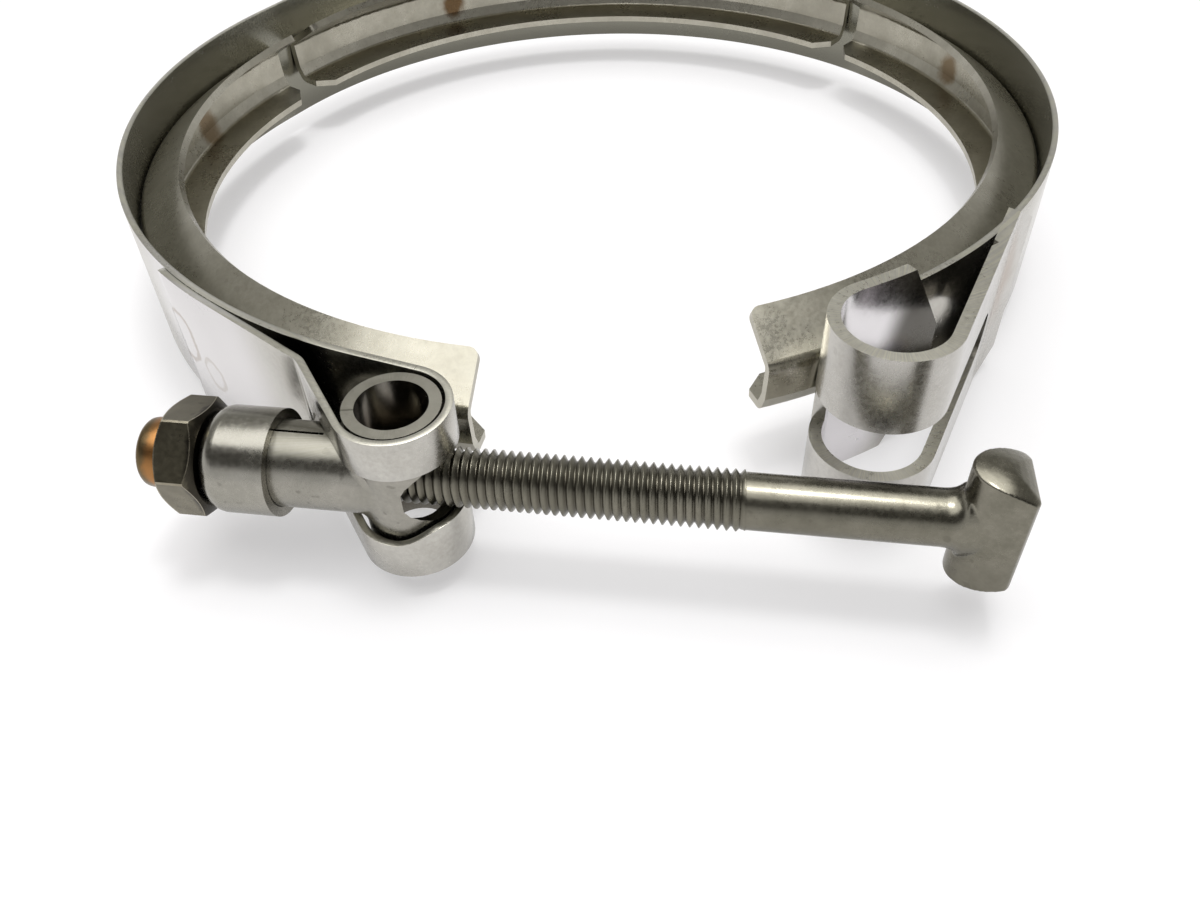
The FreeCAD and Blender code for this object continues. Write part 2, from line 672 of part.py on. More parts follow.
NODES = [
    "band", "retainer_left", "retainer_back", "retainer_right", "t_bolt_loop",
    "trunnion", "ferrule", "lock_nut", "t_bolt",
]
for item in doc.Objects:
    if "Invalid" in item.State or "Error" in item.State:
        raise RuntimeError(f"{item.Label} did not recompute: {item.State}")
os.makedirs("parts", exist_ok=True)
parts = [doc.getObjectsByLabel(node)[0] for node in NODES]
for part in parts:
    if part.Shape.isNull() or not part.Shape.isValid() or len(part.Shape.Solids) != 1:
        raise RuntimeError(f"{part.Label} is not one valid solid")
for part in parts:
    part.Shape.exportStep(f"parts/{part.Label}.step")
    box = part.Shape.BoundBox
    print(f"{part.Label}: {box.XLength:.2f} x {box.YLength:.2f} x {box.ZLength:.2f} mm")
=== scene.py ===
import bpy
import bmesh
import math
from mathutils import Matrix, Vector


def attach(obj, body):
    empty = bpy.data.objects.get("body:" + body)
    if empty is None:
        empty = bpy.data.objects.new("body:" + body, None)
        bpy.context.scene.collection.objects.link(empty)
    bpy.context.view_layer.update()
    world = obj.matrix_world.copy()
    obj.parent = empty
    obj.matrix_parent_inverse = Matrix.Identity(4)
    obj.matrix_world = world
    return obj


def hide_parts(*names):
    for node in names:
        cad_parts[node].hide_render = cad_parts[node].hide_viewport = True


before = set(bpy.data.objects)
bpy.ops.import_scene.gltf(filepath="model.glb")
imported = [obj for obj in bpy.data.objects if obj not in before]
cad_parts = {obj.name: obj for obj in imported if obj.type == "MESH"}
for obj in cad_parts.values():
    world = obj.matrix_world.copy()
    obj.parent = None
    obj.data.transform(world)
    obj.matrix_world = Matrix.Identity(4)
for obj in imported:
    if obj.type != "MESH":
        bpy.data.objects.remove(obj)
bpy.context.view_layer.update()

# The model's frame, in metres: +Z is the axis of the clamped joint, the bolt is on the -Y side.
MM = 0.001
BOLT_ANGLE = math.radians(-9.6)
TRUNNION = Vector((-22.105, -70.812, 0)) * MM
CATCH_LOOP = Vector((27.845, -64.559, 0)) * MM
FLOOR_LEVEL = -12.7 * MM


def put(name, data):
    """A new object in the scene."""
    thing = bpy.data.objects.new(name, data)
    bpy.context.scene.collection.objects.link(thing)
    return thing


# Camera, in the photograph's place.
ELEVATION = math.radians(43.88)
ROLL = 0.0379
LENS = 30.76
CAMERA_SPOT = Vector((-0.002062, -0.145945, 0.074403))

forward = Vector((0, math.cos(ELEVATION), -math.sin(ELEVATION)))
level = Vector((1, 0, 0))
down = Vector((0, -math.sin(ELEVATION), -math.cos(ELEVATION)))
across = level * math.cos(ROLL) + down * math.sin(ROLL)
below = down * math.cos(ROLL) - level * math.sin(ROLL)
turn = Matrix((across, -below, -forward)).transposed()
camera = put("camera", bpy.data.cameras.new("camera"))
camera.data.lens = LENS
camera.data.sensor_width = 36
camera.data.clip_start = 0.005
camera.matrix_world = Matrix.Translation(CAMERA_SPOT) @ turn.to_4x4()
bpy.context.scene.camera = camera
bpy.context.scene.view_settings.view_transform = "Standard"


class Nodes:
    """A material or world under construction."""

    def __init__(self, owner):
        owner.use_nodes = True
        self.owner = owner
        self.tree = owner.node_tree
        self.place = None

    def add(self, kind, inputs=None, **settings):
        node = self.tree.nodes.new(kind)
        for name, setting in settings.items():
            setattr(node, name, setting)
        for key, source in (inputs or {}).items():
            self.feed(source, node.inputs[key])
        return node

    def feed(self, source, socket):
        if isinstance(source, bpy.types.NodeSocket):
            self.tree.links.new(source, socket)
        else:
            socket.default_value = source

    def math(self, operation, first, second=0.0):
        return self.add("ShaderNodeMath", {0: first, 1: second}, operation=operation).outputs[0]

    def noise(self, scale, detail=3.0, rough=0.5, vector=None):
        node = self.add("ShaderNodeTexNoise", {
            "Vector": self.place if vector is None else vector,
            "Scale": scale, "Detail": detail, "Roughness": rough,
        })
        return node.outputs[0]

    def span(self, value, low, high, start=0.0, end=1.0):
        """Value mapped smoothly from low..high to start..end."""
        node = self.add("ShaderNodeMapRange", {
            "Value": value, "From Min": low, "From Max": high, "To Min": start, "To Max": end,
        }, interpolation_type="SMOOTHSTEP")
        return node.outputs[0]

    def blend(self, factor, first, second, mode="MIX"):
        node = self.add("ShaderNodeMix", {0: factor, 6: first, 7: second}, data_type="RGBA",
                        blend_type=mode)
        return node.outputs[2]

    def distance(self, centre, stretch=(1, 1, 1), vector=None):
        """Distance from a point, with a stretch of each axis."""
        away = self.add("ShaderNodeVectorMath", {0: vector or self.place, 1: centre},
                        operation="SUBTRACT").outputs[0]
        scaled = self.add("ShaderNodeVectorMath", {0: away, 1: stretch}, operation="MULTIPLY")
        length = self.add("ShaderNodeVectorMath", {0: scaled.outputs[0]}, operation="LENGTH")
        return length.outputs["Value"]


def colour(red, green, blue):
    return (red, green, blue, 1.0)


def mark(spot, radius, stretch, hue, strength, ring=0):
    """A stain on the steel, or a patch of painted light, in millimetres, or an outline of one with a
    ring's width.
    """
    return Vector(spot) * MM, radius * MM, stretch, hue, strength, ring and ring * MM


def steel(name, light, dark, rough, mottle=260, grain=1900, grain_depth=0.012, marks=(),
          pits=0.0, wash=0.5):
    """Bare steel: mottled colour, fine grain, uneven gloss, and painted marks: stains and patches of
    painted light.
    """
    material = Nodes(bpy.data.materials.new(name))
    material.place = material.add("ShaderNodeTexCoord").outputs["Object"]
    cloud = material.noise(mottle, 4.0, 0.6)
    fine = material.noise(grain, 4.0, 0.65)
    stain = material.noise(mottle * 0.28, 3.0, 0.55)
    tone = material.blend(material.span(cloud, 0.2, 0.8), dark, light)
    shade = material.span(fine, 0.25, 0.75, 0.9, 1.06)
    tone = material.blend(1.0, tone, shade_colour(material, shade), "MULTIPLY")
    dull = tuple(part * 0.85 for part in dark[:3]) + (1.0,)
    tone = material.blend(material.span(stain, 0.4, 0.8, 0.0, wash), tone, dull)
    warp = material.math("MULTIPLY", material.math("SUBTRACT", cloud, 0.5), 0.0022)
    for centre, radius, stretch, hue, strength, ring in marks:
        reach = material.math("ADD", material.distance(centre, stretch), warp)
        if ring:
            reach = material.math("ABSOLUTE", material.math("SUBTRACT", reach, radius))
            cover = material.span(reach, ring * 0.3, ring, strength, 0.0)
        else:
            cover = material.span(reach, radius * 0.45, radius, strength, 0.0)
        tone = material.blend(cover, tone, hue)
    height = material.math("MULTIPLY", fine, 0.7)
    height = material.math("ADD", height, material.math("MULTIPLY", cloud, 0.5))
    if pits:
        speck = material.span(material.noise(900, 0.0, 0.5), 0.74, 0.80)
        tone = material.blend(material.math("MULTIPLY", speck, pits), tone,
                              colour(0.05, 0.045, 0.035))
        height = material.math("SUBTRACT", height, material.math("MULTIPLY", speck, pits))
    material.tone, material.height, material.fine, material.cloud = tone, height, fine, cloud
    material.gloss = material.math(
        "ADD", material.span(fine, 0.3, 0.7, rough - 0.03, rough + 0.04),
        material.span(stain, 0.35, 0.7, -0.03, 0.05),
    )
    material.grain_depth = grain_depth
    return material


def paint_hollow_light_or_shade(material, centre, radius, stretch, hue, strength):
    """Painted shade or painted light on the surfaces that face a hollow's middle."""
    facing = material.add("ShaderNodeTexCoord").outputs["Normal"]
    toward = material.add("ShaderNodeVectorMath", {0: centre, 1: material.place},
                          operation="SUBTRACT").outputs[0]
    flat = material.add("ShaderNodeVectorMath", {0: toward, 1: (1, 1, 0)}, operation="MULTIPLY")
    way = material.add("ShaderNodeVectorMath", {0: flat.outputs[0]}, operation="NORMALIZE")
    inside = material.add("ShaderNodeVectorMath", {0: way.outputs[0], 1: facing},
                          operation="DOT_PRODUCT").outputs["Value"]
    cover = material.math("MULTIPLY", material.span(inside, 0.05, 0.3),
                          material.span(material.distance(centre, stretch), radius * 0.65, radius,
                                        strength, 0.0))
    material.tone = material.blend(cover, material.tone, hue)


def shade_colour(material, value):
    """A grey of the given brightness."""
    node = material.add("ShaderNodeCombineColor", {0: value, 1: value, 2: value})
    return node.outputs[0]


def finish_steel(material):
    """Connect the colour, gloss and relief to a metallic shader."""
    shader = material.tree.nodes["Principled BSDF"]
    shader.inputs["Metallic"].default_value = 1.0
    relief = material.add("ShaderNodeBump", {
        "Height": material.height, "Strength": 0.55, "Distance": material.grain_depth * MM,
    })
    material.feed(material.tone, shader.inputs["Base Color"])
    material.feed(material.gloss, shader.inputs["Roughness"])
    material.feed(relief.outputs[0], shader.inputs["Normal"])
    return material.owner


def cut_edges(material, hue, centre):
    """Sheared edges of a strip: duller, with fine lines that fan out from a loop's centre."""
    facing = material.add("ShaderNodeTexCoord").outputs["Normal"]
    upright = material.add("ShaderNodeSeparateXYZ", {0: facing}).outputs[2]
    edge = material.span(material.math("ABSOLUTE", upright), 0.7, 0.85)
    away = material.add("ShaderNodeVectorMath", {0: material.place, 1: centre},
                        operation="SUBTRACT").outputs[0]
    parts = material.add("ShaderNodeSeparateXYZ", {0: away})
    bearing = material.math("ARCTAN2", parts.outputs[1], parts.outputs[0])
    lines = material.add("ShaderNodeTexNoise", {"W": bearing, "Scale": 42.0, "Detail": 5.0},
                         noise_dimensions="1D").outputs[0]
    cover = material.math("MULTIPLY", edge, material.span(lines, 0.38, 0.60, 0.9, 0.25))
    material.tone = material.blend(cover, material.tone, hue)
    depth = material.math("MULTIPLY", edge, material.math("MULTIPLY", lines, 1.6))
    material.height = material.math("ADD", material.height, depth)
    material.gloss = material.math("ADD", material.gloss, material.math("MULTIPLY", edge, 0.1))


band = steel("band_sheet", colour(0.52, 0.505, 0.465), colour(0.45, 0.435, 0.395), 0.22,
             marks=[
                 # Painted reflection: a broad lighter patch on the outer face of the band's folded
                 # end.
                 mark((-48.0, -51.0, 0), 17, (1, 1, 0.4), colour(0.68, 0.665, 0.665), 0.9),
                 mark((-50.9, -47.0, 1.2), 2.5, (1, 1, 0.72), colour(0.30, 0.23, 0.17), 0.55, 0.45),
                 mark((-47.3, -50.9, -2.4), 1.7, (1, 1, 0.8), colour(0.33, 0.27, 0.2), 0.35, 0.4),
             ], wash=0.3)
cut_edges(band, colour(0.56, 0.545, 0.455), TRUNNION)
# Painted shade: the band's inner face darker toward the ring's axis.
paint_hollow_light_or_shade(band, (0, 0, 0), 0.11, (1, 1, 1), colour(0.22, 0.215, 0.175), 0.92)
# Painted shade: near black in the gap between the folded end and the retainer.
paint_hollow_light_or_shade(band, Vector((-33.5, -60.5, 0)) * MM, 0.011, (1, 1, 0.6), colour(0.07, 0.065, 0.055), 0.93)
retainer = steel("retainer_sheet", colour(0.46, 0.44, 0.37), colour(0.38, 0.36, 0.295), 0.3,
                 mottle=420, grain_depth=0.012, pits=0.07, marks=[
                     mark((-27.29, 56.42, 0.06), 3.0, (1, 1, 1), colour(0.12, 0.07, 0.03), 0.95),
                     mark((-63.34, 10.42, -1.2), 3.4, (1, 1, 0.8), colour(0.17, 0.11, 0.05), 0.8),
                     mark((58.87, 20.24, -0.32), 3.0, (1, 1, 1), colour(0.17, 0.11, 0.05), 0.8),
                 ])
strap = steel("strap_sheet", colour(0.52, 0.505, 0.475), colour(0.45, 0.435, 0.40), 0.22,
              marks=[
                  mark((30.6, -57.2, 2.1), 3.3, (1, 1, 1), colour(0.30, 0.21, 0.10), 0.9),
                  mark((30.6, -57.2, 2.1), 2.5, (1, 1, 1), colour(0.06, 0.03, 0.13), 0.95),
                  mark((47.6, -46.3, 2.5), 4.0, (1, 1, 0.42), colour(0.34, 0.26, 0.20), 0.6),
              ], pits=0.1, wash=0.35)
cut_edges(strap, colour(0.60, 0.58, 0.48), CATCH_LOOP)
# Painted reflection: the inside faces of the catching loop lighter.
paint_hollow_light_or_shade(strap, CATCH_LOOP, 0.0115, (1, 1, 0.5), colour(0.80, 0.78, 0.80), 0.8)
# Painted shade: near black on the faces of the hollow by the loop's outer leg.
paint_hollow_light_or_shade(strap, Vector((38.5, -56.5, 0)) * MM, 0.011, (1, 1, 0.6), colour(0.06, 0.055, 0.045), 0.9)
tube = steel("trunnion_sheet", colour(0.35, 0.335, 0.295), colour(0.28, 0.27, 0.235), 0.25,
             grain_depth=0.009, pits=0.3)
# Painted shade: the trunnion's inside faces near black.
paint_hollow_light_or_shade(tube, TRUNNION, 0.0062, (1, 1, 0.42), colour(0.07, 0.055, 0.04), 0.95)
# The seam of the rolled sheet, as a dark line across the trunnion's rim.
SEAM_ANGLE = math.radians(187)
SEAM_REACH = 4.27 * MM
seam_spot = TRUNNION + Vector((math.cos(SEAM_ANGLE), math.sin(SEAM_ANGLE), 0)) * SEAM_REACH
seam_line = tube.distance(seam_spot + Vector((0, 0, 0.0093)), (0.05, 1, 0.02))
tube.tone = tube.blend(tube.span(seam_line, 0.00008, 0.00018, 0.92, 0.0), tube.tone,
                       colour(0.03, 0.028, 0.022))
cut_edges(tube, colour(0.27, 0.26, 0.215), TRUNNION)
cap = steel("ferrule_turned", colour(0.37, 0.355, 0.315), colour(0.30, 0.29, 0.25), 0.23,
            grain_depth=0.007, pits=0.2)

# The nut: dark bronze on the hexagon, its edges worn, a browned collar, and painted shade on the
# bearing face. The stains and the painted shade are set along the bolt, in metres.
bronzed = steel("nut_bronzed", colour(0.205, 0.188, 0.138), colour(0.13, 0.117, 0.082), 0.3,
                mottle=330, grain_depth=0.016, pits=0.3)
station = bronzed.add("ShaderNodeSeparateXYZ", {0: bronzed.place}).outputs[0]
wander = bronzed.math("MULTIPLY", bronzed.math("SUBTRACT", bronzed.cloud, 0.5), 0.0022)
station = bronzed.math("ADD", station, wander)
NUT_STAINS_AND_SHADE = (
    (-0.0252, -0.0247, 0.9, 0.0, colour(0.36, 0.17, 0.055)),
    (-0.0272, -0.0262, 0.85, 0.0, colour(0.12, 0.10, 0.055)),
    # Painted shade: the bearing face and its chamfer near black.
    (-0.0214, -0.0209, 0.0, 0.85, colour(0.025, 0.022, 0.018)),
)
for low, high, before, beyond, hue in NUT_STAINS_AND_SHADE:
    cover = bronzed.span(station, low, high, before, beyond)
    bronzed.tone = bronzed.blend(cover, bronzed.tone, hue)
worn = steel("nut_worn_edges", colour(0.44, 0.40, 0.31), colour(0.27, 0.245, 0.185), 0.3,
             mottle=600, grain_depth=0.016)

CARRIED = {
    "retainer_left": retainer, "retainer_back": retainer,
    "retainer_right": retainer, "t_bolt_loop": strap, "trunnion": tube, "ferrule": cap,
}
finished = {band: finish_steel(band)}
for node, material in CARRIED.items():
    if material not in finished:
        finished[material] = finish_steel(material)
    for slot in bpy.data.objects[node].material_slots:
        slot.material = finished[material]


def mesh_from(shape, name):
    """The finished mesh of a shape under construction."""
    mesh = bpy.data.meshes.new(name)
    shape.to_mesh(mesh)
    shape.free()
    return mesh


def applied(holder):
    """The mesh that an object's modifiers make of it. The object itself goes."""
    shaped = holder.evaluated_get(bpy.context.evaluated_depsgraph_get())
    mesh = bpy.data.meshes.new_from_object(shaped)
    bpy.data.objects.remove(holder)
    return mesh


# Band: one folded strip, with the slot for the barrel whose lower edge rises in a soft curve.
# Lengths are in millimetres, angles in degrees from +X toward +Y.

BAND_RADIUS, BAND_SHEET, BAND_HALF_WIDTH = 64.5, 0.8, 9.525
LEFT_ARM = Vector((-2.23452, -3.51426))
RIGHT_ARM = Vector((-0.75223, 0.89711))
LOOP_MIDDLE, LOOP_DISTANCE, LOOP_WAY = 5.65, 70.17, 253.55
TAIL_RUN, TAIL_CORNER = 16.5, 3.5
EDGE_BEVEL = 0.07
TAIL_LIFT, TAIL_END = 229, 220.7
WELD_GAP = 0.03
BAND_END, LEFT_BEND = -68.6, 147.55
RIGHT_BEND, RIGHT_BEND_HALF = 39.98, 1.7
SLOT_HALF_HEIGHT, SLOT_RISE = 4.75, 1.5
SLOT_START, RISE_START, RISE_SPAN = 55, -106, 56


def polar(centre, radius, angle):
    """Point at a radius and an angle from a centre."""
    way = math.radians(angle)
    return centre + Vector((math.cos(way), math.sin(way))) * radius


def heading(way):
    """Angle of a direction."""
    return math.degrees(math.atan2(way.y, way.x))


def arc(centre, radius, start, end, step):
    """Points along an arc, no further apart than about a step."""
    count = max(2, math.ceil(abs(end - start) * math.pi / 180 * radius / step))
    return [polar(centre, radius, start + (end - start) * index / count)
            for index in range(count + 1)]


def run(start, end, step):
    """Points along a straight run."""
    count = max(2, math.ceil((end - start).length / step))
    return [start.lerp(end, index / count) for index in range(count + 1)]


def band_route():
    """Middle line of the band, where its loop begins and where its folded corner begins."""
    centre = Vector((0, 0))
    middle = BAND_RADIUS - BAND_SHEET / 2
    shift = RIGHT_ARM.length / 2 / math.sin(math.radians(RIGHT_BEND_HALF))
    bend_start, bend_end = RIGHT_BEND - RIGHT_BEND_HALF, RIGHT_BEND + RIGHT_BEND_HALF
    tight = polar(centre, shift, bend_end)
    loop = polar(LEFT_ARM, LOOP_DISTANCE, LOOP_WAY)
    leave = LOOP_WAY - math.degrees(math.acos((middle + LOOP_MIDDLE) / LOOP_DISTANCE))
    tail_radius = BAND_RADIUS + WELD_GAP + BAND_SHEET / 2
    lift = polar(LEFT_ARM, tail_radius, TAIL_LIFT)
    corner = polar(lift, TAIL_RUN, TAIL_LIFT + 90)
    away = corner - loop
    loop_end = heading(away) + math.degrees(math.acos(LOOP_MIDDLE / away.length)) - 360
    touch = polar(loop, LOOP_MIDDLE, loop_end)
    first, second = (corner - touch).normalized(), (lift - corner).normalized()
    swing = (heading(second) - heading(first) + 180) % 360 - 180
    cut = TAIL_CORNER * math.tan(math.radians(abs(swing) / 2))
    start = corner - first * cut
    pivot = polar(start, TAIL_CORNER, heading(first) + math.copysign(90, swing))
    opening = heading(start - pivot)
    pieces = [
        arc(RIGHT_ARM, middle, BAND_END, bend_start, 1.2),
        arc(tight, middle - shift, bend_start, bend_end, 1.2),
        arc(centre, middle, bend_end, LEFT_BEND, 1.2),
        arc(LEFT_ARM, middle, LEFT_BEND, leave, 1.2),
        run(polar(LEFT_ARM, middle, leave), polar(loop, LOOP_MIDDLE, leave - 180), 1.2),
        arc(loop, LOOP_MIDDLE, leave - 180, loop_end, 0.25),
        run(touch, start, 0.25),
        arc(pivot, TAIL_CORNER, opening, opening + swing, 0.2),
        run(corner + second * cut, lift, 1.2),
        arc(LEFT_ARM, tail_radius, TAIL_LIFT, TAIL_END, 1.0),
    ]
    points, marks, length = [], [], 0
    for piece in pieces:
        marks.append(length)
        for point in piece:
            if points and (point - points[-1][0]).length < 0.02:
                continue
            if points:
                length += (point - points[-1][0]).length
            points.append((point, length))
    return points, marks[5], leave - 180, marks[7] + 0.6


def band_mesh():
    """The strip's middle surface with its slot, thickened to the sheet."""
    route, loop_start, loop_angle, slot_close = band_route()
    slot_open = loop_start + math.radians(loop_angle - SLOT_START) * LOOP_MIDDLE
    shape = bmesh.new()
    columns = []
    for point, length in route:
        angle = loop_angle - math.degrees((length - loop_start) / LOOP_MIDDLE)
        rise = min(max((angle - RISE_START) / RISE_SPAN, 0), 1)
        lower = -SLOT_HALF_HEIGHT + SLOT_RISE * rise * rise * (3 - 2 * rise)
        upper = SLOT_HALF_HEIGHT
        middle = (upper + lower) / 2
        if slot_open < length < slot_close:
            near = min((length - slot_open) / 2.0, 1)
            far = min((slot_close - length) / SLOT_HALF_HEIGHT, 1)
            part = math.sqrt(1 - (1 - near) ** 2) * math.sqrt(1 - (1 - far) ** 2)
        else:
            part = 0
        levels = (-BAND_HALF_WIDTH, middle + (lower - middle) * part,
                  middle + (upper - middle) * part, BAND_HALF_WIDTH)
        columns.append([shape.verts.new(Vector((point.x, point.y, z)) * MM) for z in levels])
    for one, two in zip(columns, columns[1:]):
        for row in (0, 2):
            shape.faces.new((one[row], two[row], two[row + 1], one[row + 1]))
    bmesh.ops.remove_doubles(shape, verts=shape.verts, dist=1e-7)
    bmesh.ops.recalc_face_normals(shape, faces=shape.faces)
    holder = put("band_middle", mesh_from(shape, "band_middle"))
    thick = holder.modifiers.new("thick", "SOLIDIFY")
    thick.thickness = BAND_SHEET * MM
    thick.offset = 0
    thick.use_even_offset = True
    edge = holder.modifiers.new("edge", "BEVEL")
    edge.width = EDGE_BEVEL * MM
    edge.segments = 2
    edge.limit_method = "ANGLE"
    edge.angle_limit = math.radians(50)
    folded = applied(holder)
    folded.shade_smooth()
    folded.set_sharp_from_angle(angle=math.radians(40))
    folded.name = "band_folded"
    return folded


strip = put("band_folded", band_mesh())
strip.data.materials.clear()
strip.data.materials.append(finished[band])
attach(strip, "clamp")
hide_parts("band")

# T-bolt: a helical thread with its run-out, a plain shank and a forged head with domed ends.
# The mesh lies along its own X, from the trunnion's axis toward the head.

PITCH = 0.907
CREST, ROOT, SHANK = 3.12, 2.6, 2.9
THREAD_START, THREAD_END = -26.95, 35.1
RUN_OUT = 2.4
LEAD_IN_TURNS = 1.5
TIP_RADIUS, CORE_RADIUS = 2.55, 2.56
TURN_STEPS = 44
# One pitch of the thread: share of the pitch along the bolt, and share of the thread's depth.
THREAD_PROFILE = ((0.0, 0.0), (0.16, 0.0), (0.53, 1.0), (0.63, 1.0))
HEAD_START, HEAD_END = 55.05, 60.95
HEAD_HALF_WIDTH, HEAD_HALF_HEIGHT = 3.6, 7.4
BACK_RADIUS = 0.9
CROWN = 2.2
NOSE_START, NOSE_SWEEP, NOSE_STEPS = 94, 172, 40
NOSE_FULLNESS = 0.94
CORNER_STEPS = 6
SHANK_START = 33.9
# The shank and the root of the head: place along the bolt, half-width and half-height.
SHANK_PROFILE = (
    (SHANK_START, 0, 0), (SHANK_START, TIP_RADIUS, TIP_RADIUS), (34.5, SHANK, SHANK),
    (53.7, SHANK, SHANK), (54.3, 2.92, 3.0), (54.8, 2.95, 3.25), (55.15, 2.97, 3.65),
    (55.4, 3.0, 4.2), (57.2, 3.0, 4.2), (58.5, 0, 0),
)


def thread_mesh():
    """Helical thread. Each turn of the profile joins the next one's start."""
    steps = TURN_STEPS
    turns = int((THREAD_END - THREAD_START) / PITCH)
    rows = []
    for index in range(steps * turns + 1):
        start = THREAD_START + PITCH * index / steps
        angle = 2 * math.pi * index / steps
        row = []
        for shift, crest in THREAD_PROFILE:
            x = start + PITCH * shift
            fade = min(max((THREAD_END - x) / RUN_OUT, 0), 1)
            lead = min(max((x - THREAD_START) / (LEAD_IN_TURNS * PITCH), 0), 1)
            root = SHANK - 0.02 + (ROOT - SHANK + 0.02) * fade ** 0.6
            top = SHANK + (CREST - SHANK) * min(1, fade * 4)
            radius = root + (top - root) * crest
            radius = min(radius, TIP_RADIUS + (CREST - TIP_RADIUS) * lead)
            row.append((x, radius * math.cos(angle), radius * math.sin(angle)))
        rows.append(row)
    shape = bmesh.new()
    grid = [[shape.verts.new(Vector(point) * MM) for point in row] for row in rows]
    for index in range(len(grid) - 1):
        for number in range(3):
            shape.faces.new((grid[index][number], grid[index + 1][number],
                             grid[index + 1][number + 1], grid[index][number + 1]))
        if index + steps < len(grid) - 1:
            shape.faces.new((grid[index][3], grid[index + 1][3],
                             grid[index + steps + 1][0], grid[index + steps][0]))
    add_lathe(shape, [(THREAD_START, 0, 0), (THREAD_START, 2.3, 2.3),
                      (THREAD_START + 0.25, CORE_RADIUS, CORE_RADIUS),
                      (THREAD_END, CORE_RADIUS, CORE_RADIUS)])
    return mesh_from(shape, "thread")


def add_lathe(shape, profile, steps=64):
    """Surface about X from rows of x, half-width along Y and half-height along Z."""
    rings = []
    for x, wide, high in profile:
        if wide == 0:
            rings.append([shape.verts.new((x * MM, 0, 0))])
            continue
        rings.append([
            shape.verts.new((x * MM, wide * math.cos(2 * math.pi * step / steps) * MM,
                             high * math.sin(2 * math.pi * step / steps) * MM))
            for step in range(steps)
        ])
    for one, two in zip(rings, rings[1:]):
        for step in range(steps):
            after = (step + 1) % steps
            if len(one) == 1:
                shape.faces.new((one[0], two[step], two[after]))
            elif len(two) == 1:
                shape.faces.new((one[step], two[0], one[after]))
            else:
                shape.faces.new((one[step], two[step], two[after], one[after]))


def fuller(share):
    """A sine or cosine raised a little, which makes an ellipse fuller."""
    return math.copysign(abs(share) ** NOSE_FULLNESS, share)


def rounded_outline():
    """Section of the head across Z: a long round nose and a flat back with small corners."""
    points = []
    reach = HEAD_END - HEAD_START
    for step in range(NOSE_STEPS + 1):
        angle = math.radians(NOSE_START + NOSE_SWEEP * step / NOSE_STEPS)
        x = HEAD_END + reach * fuller(math.cos(angle))
        y = HEAD_HALF_WIDTH * fuller(math.sin(angle))
        points.append((max(x, HEAD_START), y))
    for step in range(1, CORNER_STEPS):
        angle = math.radians(-90 + 90 * step / CORNER_STEPS)
        points.append((HEAD_END - BACK_RADIUS * (1 - math.cos(angle)),
                       -HEAD_HALF_WIDTH + BACK_RADIUS * (1 + math.sin(angle))))
    for step in range(CORNER_STEPS):
        angle = math.radians(90 * step / CORNER_STEPS)
        points.append((HEAD_END - BACK_RADIUS * (1 - math.cos(angle)),
                       HEAD_HALF_WIDTH - BACK_RADIUS * (1 - math.sin(angle))))
    return points


def dome(x, y):
    """Half-height of the head: highest near the nose, falling toward the back and the sides."""
    back = max(0, (x - HEAD_START - CROWN) / (HEAD_END - HEAD_START - CROWN))
    front = max(0, (HEAD_START + CROWN - x) / CROWN)
    side = y / HEAD_HALF_WIDTH
    return HEAD_HALF_HEIGHT - 1.0 * back ** 2.2 - 0.3 * front ** 2 - 0.7 * side ** 2


def head_mesh():
    """Shank and head, fused and smoothed as one forging."""
    shape = bmesh.new()
    outline = rounded_outline()
    middle = ((HEAD_START + HEAD_END) / 2, 0)
    for sign in (1, -1):
        rings = []
        for reach in (1, 0.85, 0.65, 0.42, 0.2):
            ring = []
            for x, y in outline:
                x, y = (part + (point - part) * reach
                        for part, point in zip(middle, (x, y)))
                ring.append(shape.verts.new(Vector((x, y, sign * dome(x, y))) * MM))
            rings.append(ring)
        count = len(outline)
        for one, two in zip(rings, rings[1:]):
            for step in range(count):
                after = (step + 1) % count
                shape.faces.new((one[step], one[after], two[after], two[step]))
        shape.faces.new(rings[-1])
        if sign == 1:
            upper = rings[0]
        else:
            for step in range(count):
                after = (step + 1) % count
                shape.faces.new((upper[step], upper[after], rings[0][after], rings[0][step]))
    add_lathe(shape, SHANK_PROFILE)
    bmesh.ops.recalc_face_normals(shape, faces=shape.faces)
    holder = put("head_rough", mesh_from(shape, "head_rough"))
    fuse = holder.modifiers.new("fuse", "REMESH")
    fuse.mode = "VOXEL"
    fuse.voxel_size = 0.14 * MM
    soften = holder.modifiers.new("soften", "SMOOTH")
    soften.factor = 0.5
    soften.iterations = 4
    return applied(holder)


whole = bmesh.new()
whole.from_mesh(thread_mesh())
whole.from_mesh(head_mesh())
bmesh.ops.recalc_face_normals(whole, faces=whole.faces)
for face in whole.faces:
    face.smooth = True
bolt_mesh = mesh_from(whole, "t_bolt_forged")
bolt = put("t_bolt_forged", bolt_mesh)
bolt.matrix_world = Matrix.Translation(TRUNNION) @ Matrix.Rotation(BOLT_ANGLE, 4, "Z")
forged = steel("bolt_forged", colour(0.225, 0.212, 0.172), colour(0.155, 0.147, 0.115), 0.27,
               mottle=300, grain_depth=0.014, pits=0.2)
spread = forged.distance((0, 0, 0), (0, 1, 1))
lengthwise = forged.add("ShaderNodeSeparateXYZ", {0: forged.place}).outputs[0]
threaded = forged.span(lengthwise, 0.034, 0.0352, 1.0, 0.0)
# Painted shade: the roots of the thread darker.
thread_root_shade = forged.math("MULTIPLY", threaded, forged.span(spread, 0.00262, 0.00302, 0.75, 0.0))
forged.tone = forged.blend(thread_root_shade, forged.tone, colour(0.09, 0.083, 0.065))
bolt_mesh.materials.append(finish_steel(forged))
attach(bolt, "t_bolt")
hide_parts("t_bolt")

# Lock nut: a hexagon with both ends chamfered, fine worn edges and a round collar.

